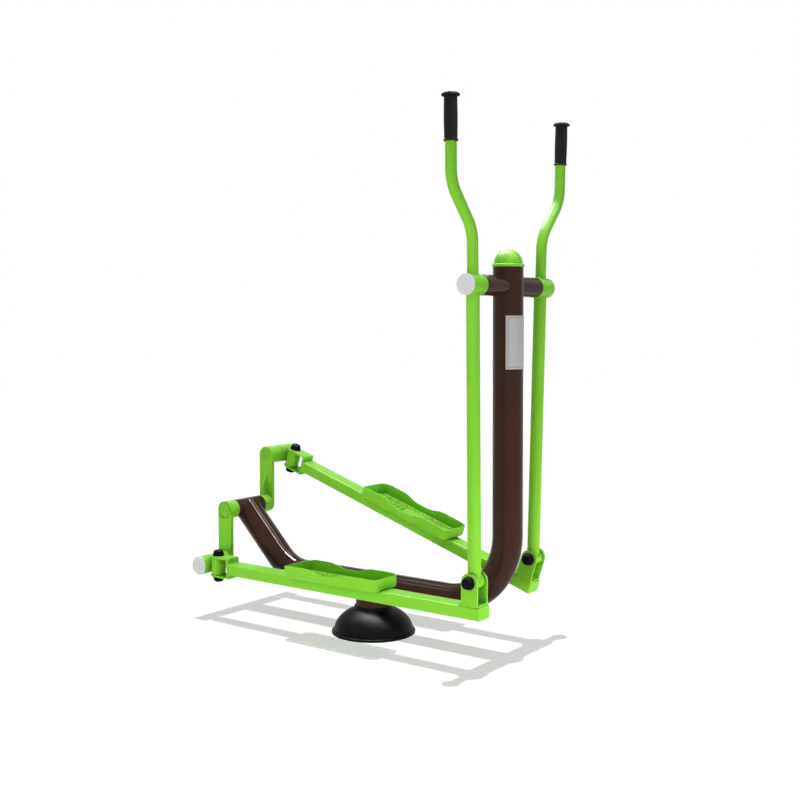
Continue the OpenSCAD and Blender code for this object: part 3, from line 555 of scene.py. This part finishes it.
def leverWelds(side):
    # each tube's radius, then the radius of the round that it stands on, that round's height and its side
    look, pipe = leverLook, layout["pipe"]
    feet = {"lever": (look["leverRadius"], pipe, 0.0, -1), "handle": (look["handleRadius"], pipe, 0.0, 1),
            "knuckle": (look["leverRadius"], look["knuckleRadius"], -layout["lever"], 1)}
    for part, (tube, met, height, sign) in feet.items():
        route = [onLever(side, tube * math.cos(a), layout["lane"] + tube * math.sin(a),
                         height + sign * math.sqrt(met ** 2 - (tube * math.cos(a)) ** 2))
                 for a in arc(weldLook["leverPoints"])]
        weldBead(side + "_" + part + "_weld", route, weldSizes[part], side + "_lever", "green_paint")


treadleLook = {"web": 0.113, "plate": 0.006, "halfClevis": 0.0255, "halfWeb": 0.028, "clevisEnd": 0.001,
               "barTop": 0.0165, "barHeight": 0.037, "barCorner": 0.005, "halfBar": 0.028, "forkBack": 1.03,
               "forkFront": 1.095, "forkEnd": 0.002, "forkInset": 0.0012, "forkSunk": 0.0005, "halfEar": 0.027,
               "earEnd": 0.001}


def treadleWelds(side):
    look, lane, body = treadleLook, layout["lane"], side + "_treadle"
    half = look["halfClevis"] - look["clevisEnd"]
    for level, sign in (("top", 1), ("bottom", -1)):
        line = [onTreadle(side, look["web"], lane + y, sign * look["halfWeb"]) for y in (-half, half)]
        weldBead(side + "_clevis_weld_" + level, line, weldSizes["clevis"], body, "green_paint", closed=False)
    web, corner = look["web"] + look["plate"], look["barCorner"]
    top, low = look["barTop"], look["barTop"] - look["barHeight"]
    ring = [onTreadle(side, web, lane + y, z) for y, z in (
        (-half, top - corner), (-half + corner, top), (half - corner, top), (half, top - corner),
        (half, low + corner), (half - corner, low), (-half + corner, low), (-half, low + corner))]
    weldBead(side + "_bar_weld", ring, weldSizes["bar"], body, "green_paint")
    for place, sign in (("inner", -1), ("outer", 1)):
        edge = [onTreadle(side, x, lane + sign * (look["halfBar"] - look["forkInset"]), top - look["forkSunk"])
                for x in (look["forkBack"] + look["forkEnd"], look["forkFront"] - look["forkEnd"])]
        weldBead(side + "_fork_weld_" + place, edge, weldSizes["fork"], body, "green_paint", closed=False)
        ear = [onTreadle(side, x, lane + sign * (look["halfBar"] - look["plate"]), top + look["plate"])
               for x in (layout["reach"] - look["halfEar"] + look["earEnd"],
                         layout["reach"] + look["halfEar"] - look["earEnd"])]
        weldBead(side + "_ear_weld_" + place, ear, weldSizes["ear"], body, "green_paint", closed=False)


swivelLook = {"knuckle": 0.0235, "ahead": 0.051, "tip": 0.00001}


def swivelWeld(side):
    # the lens where the upright knuckle is let into the sleeve
    pipe, knuckle, ahead = layout["pipe"], swivelLook["knuckle"], swivelLook["ahead"]
    reach = math.sqrt(pipe ** 2 - (ahead - knuckle) ** 2) - swivelLook["tip"]
    route = []
    for sign, a in thereAndBack(weldLook["lensPoints"]):
        z = reach * math.sin(a)
        front = math.sqrt(pipe ** 2 - z ** 2)
        y = sign * math.sqrt(max(knuckle ** 2 - (ahead - front) ** 2, 0.0))
        route.append(onTreadle(side, front, layout["lane"] + y, z))
    weldBead(side + "_swivel_weld", route, weldSizes["swivel"], side + "_rear_joint", "green_paint")


frameWelds()
for side in sides:
    crankWelds(side)
    leverWelds(side)
    treadleWelds(side)
    swivelWeld(side)
print("welds laid")


def spun(name, replaced, rings, base, axis, hollow=False, facets=64):
    # a turned piece: a disc is extruded from ring to ring, each a radius and a height above the base
    bpy.ops.object.select_all(action="DESELECT")
    bpy.ops.mesh.primitive_circle_add(vertices=facets, radius=rings[0][0], location=(0, 0, rings[0][1]),
                                      fill_type="NOTHING" if hollow else "NGON")
    piece = bpy.context.active_object
    piece.name = name
    bpy.ops.object.transform_apply(location=True)
    bpy.ops.object.mode_set(mode="EDIT")
    bpy.ops.mesh.select_all(action="SELECT")
    for (radius, height), (nextRadius, nextHeight) in zip(rings, rings[1:]):
        bpy.ops.mesh.extrude_region_move(TRANSFORM_OT_translate={"value": (0, 0, nextHeight - height)})
        share = nextRadius / radius
        bpy.ops.transform.resize(value=(share, share, 1), center_override=(0, 0, nextHeight))
    bpy.ops.mesh.select_all(action="SELECT")
    bpy.ops.mesh.remove_doubles(threshold=meshRules["join"])
    bpy.ops.mesh.normals_make_consistent(inside=False)
    bpy.ops.object.mode_set(mode="OBJECT")
    piece.matrix_world = Matrix.Translation(base) @ Vector((0, 0, 1)).rotation_difference(axis).to_matrix().to_4x4()
    only(piece)
    bpy.ops.object.transform_apply(location=True, rotation=True, scale=True)
    bpy.ops.object.shade_smooth_by_angle(angle=math.radians(meshRules["turnedSmooth"]))
    piece.data.materials.append(finishOf(replaced))
    handOver(piece, replaced)


def rounded(radius, height, edge, count):
    # rings round an outer edge, whose flat top is at the height
    quarter = [math.radians(90.0 * index / count) for index in range(count + 1)]
    return [(radius - edge + edge * math.cos(a), height - edge + edge * math.sin(a)) for a in quarter]


def stepped(radius, height, steps):
    # rings at small steps outward and upward from a radius and a height
    return [(radius + out, height + up) for out, up in steps]


tubeLook = {"rearBend": 0.163, "frontBend": 0.215, "top": 1.147, "wall": 0.004, "facets": 96, "rearSteps": 24,
            "frontSteps": 48, "edge": 0.0006, "edgeSegments": 2, "edgeAngle": 60.0, "lead": 0.003, "endReach": 0.05,
            "boreLength": 0.2, "pipeEdgeSteps": 3, "crankPipe": 0.0625, "pivotPipe": 0.1525}


def stretch(along, length):
    # a straight run of the tube, with a ring close to each end so that its shading stays straight
    for share in (tubeLook["lead"], length - 2 * tubeLook["lead"], tubeLook["lead"]):
        bpy.ops.mesh.extrude_region_move(TRANSFORM_OT_translate={"value": along * share})


def mainTube():
    # the long bent tube, drawn from ring to ring along its route so that streaks of light run clean along it
    look, (x, z), slope, runZ = tubeLook, layout["crank"], layout["slope"], layout["runZ"]
    rear, front = look["rearBend"], look["frontBend"]
    fall = (z - runZ - rear * (1 - math.cos(slope))) / math.sin(slope)
    down = Vector((math.cos(slope), 0.0, -math.sin(slope)))
    start = Vector((x, 0.0, z))
    runStart = x + fall * math.cos(slope) + rear * math.sin(slope)
    runEnd = layout["pivot"][0] - front
    bpy.ops.object.select_all(action="DESELECT")
    bpy.ops.mesh.primitive_circle_add(vertices=look["facets"], radius=layout["tube"], location=start,
                                      rotation=(0.0, math.pi / 2 + slope, 0.0), fill_type="NOTHING")
    piece = bpy.context.active_object
    piece.name = "bent_tube"
    bpy.ops.object.transform_apply(location=True, rotation=True, scale=True)
    bpy.ops.object.mode_set(mode="EDIT")
    bpy.ops.mesh.select_all(action="SELECT")
    stretch(down, fall)
    bpy.ops.mesh.spin(steps=look["rearSteps"], angle=slope, center=(runStart, 0.0, runZ + rear), axis=(0, 1, 0))
    stretch(Vector((1.0, 0.0, 0.0)), runEnd - runStart)
    bpy.ops.mesh.spin(steps=look["frontSteps"], angle=math.pi / 2, center=(runEnd, 0.0, runZ + front),
                      axis=(0, 1, 0))
    stretch(Vector((0.0, 0.0, 1.0)), look["top"] - runZ - front)
    # the rear end gets its face
    bpy.ops.mesh.select_mode(type="VERT")
    bpy.ops.mesh.select_all(action="DESELECT")
    bpy.ops.object.mode_set(mode="OBJECT")
    for vertex in piece.data.vertices:
        away = vertex.co - start
        vertex.select = away.dot(down) < meshRules["join"] and away.length < look["endReach"]
    bpy.ops.object.mode_set(mode="EDIT")
    bpy.ops.mesh.edge_face_add()
    bpy.ops.mesh.select_all(action="SELECT")
    bpy.ops.mesh.remove_doubles(threshold=meshRules["join"])
    bpy.ops.mesh.normals_make_consistent(inside=False)
    bpy.ops.object.mode_set(mode="OBJECT")
    wall = piece.modifiers.new("wall", "SOLIDIFY")
    wall.thickness, wall.offset = look["wall"], -1.0
    bpy.ops.object.modifier_apply(modifier="wall")
    breakEdges(piece, look["edge"], look["edgeSegments"], look["edgeAngle"])
    # the two cross pipes pass through
    for throughX, throughZ in (layout["crank"], layout["pivot"]):
        bpy.ops.object.select_all(action="DESELECT")
        bpy.ops.mesh.primitive_cylinder_add(vertices=look["facets"], radius=layout["pipe"], depth=look["boreLength"],
                                            location=(throughX, 0.0, throughZ), rotation=(math.pi / 2, 0.0, 0.0))
        cutter = bpy.context.active_object
        only(piece)
        bore = piece.modifiers.new("bore", "BOOLEAN")
        bore.operation, bore.solver, bore.object = "DIFFERENCE", "EXACT", cutter
        bpy.ops.object.modifier_apply(modifier="bore")
        bpy.data.objects.remove(cutter)
    openMesh(piece, meshRules["join"])
    bpy.ops.mesh.normals_make_consistent(inside=False)
    bpy.ops.object.mode_set(mode="OBJECT")
    bpy.ops.object.shade_smooth_by_angle(angle=math.radians(meshRules["smooth"]))
    piece.data.materials.clear()
    piece.data.materials.append(brownPaint)
    handOver(piece, "main_tube")


def crossPipe(name, replaced, place, half):
    # a straight pipe across the frame, as cut and chamfered
    look, pipe = tubeLook, layout["pipe"]
    bore = pipe - look["wall"]
    top = rounded(pipe, half, look["edge"], look["pipeEdgeSteps"])
    rings = [(radius, -height) for radius, height in reversed(top)]
    rings += [(pipe, look["lead"] - half), (pipe, half - look["lead"])] + top
    rings += [(bore, half), (bore, -half), rings[0]]
    spun(name, replaced, rings, Vector((place[0], 0.0, place[1])), Vector((0, 1, 0)), hollow=True,
         facets=look["facets"])


mainTube()
crossPipe("crank_pipe", "crank_housing", layout["crank"], tubeLook["crankPipe"])
crossPipe("pivot_pipe", "cross_tube", layout["pivot"], tubeLook["pivotPipe"])
print("tube bent, cross pipes cut")

# the steps round off the foot and the head of the end ring and the flange, and the dome stops half a step short
gripLook = {"bore": 0.0165, "barrel": 0.018, "swell": 0.001, "ring": 0.020, "ringHeight": 0.005, "flange": 0.02575,
            "flangeHeight": 0.006, "dome": 0.0055, "length": 0.131, "top": 0.510, "out": 0.1035, "steps": 40,
            "plain": 3, "groove": 0.0003, "barrelGap": 0.0006, "domeSteps": 8.5, "domeInset": 0.003,
            "ringFoot": ((-0.0015, 0.0), (-0.0004, 0.0005), (0.0, 0.0016)),
            "ringHead": ((0.0, -0.0016), (-0.0005, -0.0004)),
            "flangeEdge": ((-0.003, 0.0), (-0.0008, 0.0008), (0.0, 0.003), (-0.0008, 0.0052), (-0.003, 0.006))}


def handGrip(side):
    # moulded grip: end ring, barrel with shallow finger rings, mushroom flange
    look = gripLook
    body = look["length"] - look["flangeHeight"] - look["dome"]
    rings = [(look["bore"], 0.0)] + stepped(look["ring"], 0.0, look["ringFoot"])
    rings += stepped(look["ring"], look["ringHeight"], look["ringHead"])
    steps, plain, gap = look["steps"], look["plain"], look["barrelGap"]
    for index in range(steps + 1):
        share = index / steps
        height = look["ringHeight"] + gap + (body - look["ringHeight"] - 2 * gap) * share
        groove = look["groove"] if index % 2 and plain < index < steps - plain else 0.0
        rings.append((look["barrel"] + look["swell"] * math.sin(math.pi * share) - groove, height))
    rings += stepped(look["flange"], body, look["flangeEdge"])
    for index in range(1, math.ceil(look["domeSteps"])):
        a = math.radians(90 * index / look["domeSteps"])
        rings.append(((look["flange"] - look["domeInset"]) * math.cos(a),
                      body + look["flangeHeight"] + look["dome"] * math.sin(a)))
    base = onLever(side, 0.0, layout["lane"] + look["out"], look["top"] - look["length"])
    axis = onLever(side, 0.0, 0.0, 1.0) - onLever(side, 0.0, 0.0, 0.0)
    spun(side + "_grip", side + "_hand_grip", rings, base, axis)


for side in sides:
    handGrip(side)

# the steps round off the foot of the rim and the top of the collar
shellLook = {"rim": 0.134, "rimHeight": 0.008, "rimEdge": 0.003, "rimEdgeSteps": 4, "dome": 0.126,
             "domeHeight": 0.080, "domeLift": 0.0004, "collar": 0.0605, "collarTop": 0.088, "wall": 0.003,
             "steps": 28, "facets": 128, "rimFoot": ((-0.006, 0.0), (-0.0008, 0.0), (0.0, 0.001)),
             "collarEdge": ((0.0, -0.0012), (-0.0006, 0.0), (-0.0026, 0.0), (-0.003, -0.001))}


def baseCover():
    # domed cover: a rounded rim on the ground, the dome, a fold and the collar round the post
    look = shellLook
    foot = stepped(look["rim"], 0.0, look["rimFoot"])
    rings = foot + rounded(look["rim"], look["rimHeight"], look["rimEdge"], look["rimEdgeSteps"])
    last = math.acos(look["collar"] / look["dome"])
    for index in range(look["steps"] + 1):
        a = last * index / look["steps"]
        rings.append((look["dome"] * math.cos(a),
                      look["rimHeight"] + look["domeLift"] + look["domeHeight"] * math.sin(a)))
    rings += stepped(look["collar"], look["collarTop"], look["collarEdge"])
    # back down inside
    for index in reversed(range(0, look["steps"] + 1, 2)):
        a = last * index / look["steps"]
        rings.append(((look["dome"] - look["wall"]) * math.cos(a),
                      look["rimHeight"] + (look["domeHeight"] - look["wall"]) * math.sin(a)))
    rings.append(foot[0])
    spun("cover_shell", "base_cover", rings, Vector((0, 0, 0)), Vector((0, 0, 1)), hollow=True,
         facets=look["facets"])


baseCover()
print("grips and cover turned")

# edges no higher than rimAbove over the bar stay as they are
trayLook = {"rimEdge": 0.0009, "rimSegments": 3, "rimAbove": 0.006, "sharp": 40.0}


def pressedTray(side):
    # the footplate again, with the edges of its rim rounded
    name = side + "_footplate"
    piece = copied(name, name + "_pressed")
    origin = onTreadle(side, 0.0, 0.0, treadleLook["barTop"])
    upward = onTreadle(side, 0.0, 0.0, treadleLook["barTop"] + 1.0) - origin
    bpy.ops.mesh.select_mode(type="EDGE")
    bpy.ops.mesh.select_all(action="DESELECT")
    bpy.ops.mesh.edges_select_sharp(sharpness=math.radians(trayLook["sharp"]))
    bpy.ops.object.mode_set(mode="OBJECT")
    heights = [(piece.matrix_world @ vertex.co - origin).dot(upward) for vertex in piece.data.vertices]
    for line in piece.data.edges:
        if line.select and any(heights[index] <= trayLook["rimAbove"] for index in line.vertices):
            line.select = False
    bpy.ops.object.mode_set(mode="EDIT")
    bpy.ops.mesh.bevel(offset=trayLook["rimEdge"], segments=trayLook["rimSegments"], affect="EDGES",
                       clamp_overlap=True)
    bpy.ops.mesh.normals_make_consistent(inside=False)
    bpy.ops.object.mode_set(mode="OBJECT")
    bpy.ops.object.shade_smooth_by_angle(angle=math.radians(meshRules["smooth"]))
    handOver(piece, name)


for side in sides:
    pressedTray(side)
print("footplates pressed")

floorLook = {"colour": rgb(0.60, 0.60, 0.60), "reach": 14.0, "glow": 0.49}
bpy.ops.object.select_all(action="DESELECT")
bpy.ops.mesh.primitive_plane_add(size=floorLook["reach"] * 2, location=(0, 0, 0))
ground = bpy.context.active_object
ground.name = "ground"
# white where the lamps reach it, and a clear shadow under the object
groundFinish = Finish(bpy.data.materials.new("groundFinish"))
groundPaint = groundFinish.add("ShaderNodeBsdfDiffuse", {}, {"Color": floorLook["colour"]})
groundGlow = groundFinish.add("ShaderNodeEmission", {}, {"Color": rgb(1, 1, 1), "Strength": floorLook["glow"]})
groundBoth = groundFinish.add("ShaderNodeAddShader", {}, {0: groundPaint, 1: groundGlow})
ground.data.materials.append(groundFinish.output(
    groundFinish.add("ShaderNodeMixShader", {}, {0: groundFinish.seen(), 1: groundPaint, 2: groundBoth})))

lightLook = {"sunStrength": 2.15, "sunAngle": 0.1, "sunHeight": 4.0, "worldStrength": 0.22, "worldSeen": 1.0,
             "stripAim": (0.0, 0.0, 0.6)}
softboxes = {
    "nearSoftbox": {"place": (0.3, -1.6, 0.05), "aim": (0.3, 0.0, 0.16), "size": (2.4, 0.08), "power": 4.4,
                    "spread": 88.0},
    "frontSoftbox": {"place": (2.0, 0.0, 0.05), "aim": (0.5, 0.0, 0.16), "size": (1.4, 0.08), "power": 4.6,
                     "spread": 88.0},
    "upperSoftbox": {"place": (0.9, -3.2, 1.25), "aim": (0.5, 0.0, 1.2), "size": (1.6, 0.5), "power": 1.7,
                     "spread": 30.0},
}
# thin strips high up, which show only as streaks in the paint: two ends, width and strength
strips = {
    "slopeStrip": ((1.95, -0.12, 4.3), (0.75, 0.30, 4.3), 0.3, 105.0),
    "bendStrip": ((0.75, 0.42, 4.3), (-2.2, 0.85, 4.3), 0.7, 130.0),
    "faintStrip": ((1.6, 1.78, 4.3), (0.8, 1.99, 4.3), 0.4, 22.0),
    "faintBendStrip": ((0.8, 2.1, 4.3), (-2.2, 2.7, 4.3), 0.4, 22.0),
    "runStrip": ((-2.3, 1.2, 4.3), (-3.6, 1.2, 4.3), 0.6, 3.0),
    "lowerRunStrip": ((-2.3, -1.2, 4.3), (-3.6, -1.2, 4.3), 0.8, 4.5),
    "sideStrip": ((2.65, -1.2, 4.3), (2.65, 1.9, 4.3), 0.14, 90.0),
    "outerStrip": ((3.5, -1.2, 4.3), (3.5, 1.9, 4.3), 0.14, 90.0),
}

# a dim even light on the object, and white behind it
studio = Finish(bpy.data.worlds.new("studio"), "ShaderNodeOutputWorld")
fill, backdrop = (studio.add("ShaderNodeBackground", {}, {"Color": rgb(1, 1, 1), "Strength": lightLook[key]})
                  for key in ("worldStrength", "worldSeen"))
bpy.context.scene.world = studio.output(
    studio.add("ShaderNodeMixShader", {}, {0: studio.seen(), 1: fill, 2: backdrop}))

bpy.ops.object.light_add(type="SUN", location=(0, 0, lightLook["sunHeight"]))
sun = bpy.context.active_object
sun.name = "overheadSun"
sun.data.energy = lightLook["sunStrength"]
sun.data.angle = math.radians(lightLook["sunAngle"])
sun.visible_glossy = False


def areaLamp(name, place, toward, along, size, power):
    # a rectangular lamp whose length lies along one direction
    bpy.ops.object.light_add(type="AREA", location=place)
    lamp = bpy.context.active_object
    lamp.name = name
    behind = (Vector(place) - Vector(toward)).normalized()
    across = behind.cross(Vector(along)).normalized()
    length = across.cross(behind).normalized()
    lamp.matrix_world = Matrix.Translation(place) @ Matrix((length, across, behind)).transposed().to_4x4()
    lamp.data.shape = "RECTANGLE"
    lamp.data.size, lamp.data.size_y = size
    lamp.data.energy = power
    lamp.visible_camera = False
    return lamp


for name, look in softboxes.items():
    aim = Vector(look["aim"])
    sideways = Vector((0, 0, 1)).cross(Vector(look["place"]) - aim)
    softbox = areaLamp(name, look["place"], aim, sideways, look["size"], look["power"])
    softbox.data.spread = math.radians(look["spread"])
    softbox.visible_glossy = False
for name, (first, last, width, strength) in strips.items():
    first, last = Vector(first), Vector(last)
    length = (last - first).length
    strip = areaLamp(name, (first + last) / 2, lightLook["stripAim"], last - first, (length, width),
                     strength * math.pi * length * width)
    strip.visible_diffuse = False

cameraLook = {"place": (2.1865, -2.7833, 0.9774), "azimuth": 36.52, "elevation": 2.84, "roll": -0.14,
              "lens": 50.23, "sensor": 36.0, "shift": (-0.0055, -0.0230)}
azimuth, elevation, roll = (math.radians(cameraLook[key]) for key in ("azimuth", "elevation", "roll"))
back = Vector((math.sin(azimuth) * math.cos(elevation), -math.cos(azimuth) * math.cos(elevation),
               math.sin(elevation)))
level = Vector((math.cos(azimuth), math.sin(azimuth), 0.0))
upright = back.cross(level)
right = level * math.cos(roll) + upright * math.sin(roll)
up = upright * math.cos(roll) - level * math.sin(roll)
cameraData = bpy.data.cameras.new("camera")
camera = bpy.data.objects.new("camera", cameraData)
bpy.context.scene.collection.objects.link(camera)
camera.matrix_world = Matrix.Translation(cameraLook["place"]) @ Matrix((right, up, back)).transposed().to_4x4()
cameraData.lens = cameraLook["lens"]
cameraData.sensor_width = cameraLook["sensor"]
cameraData.shift_x, cameraData.shift_y = cameraLook["shift"]
bpy.context.scene.camera = camera
bpy.context.scene.view_settings.view_transform = "Standard"
print("floor, light and camera set")
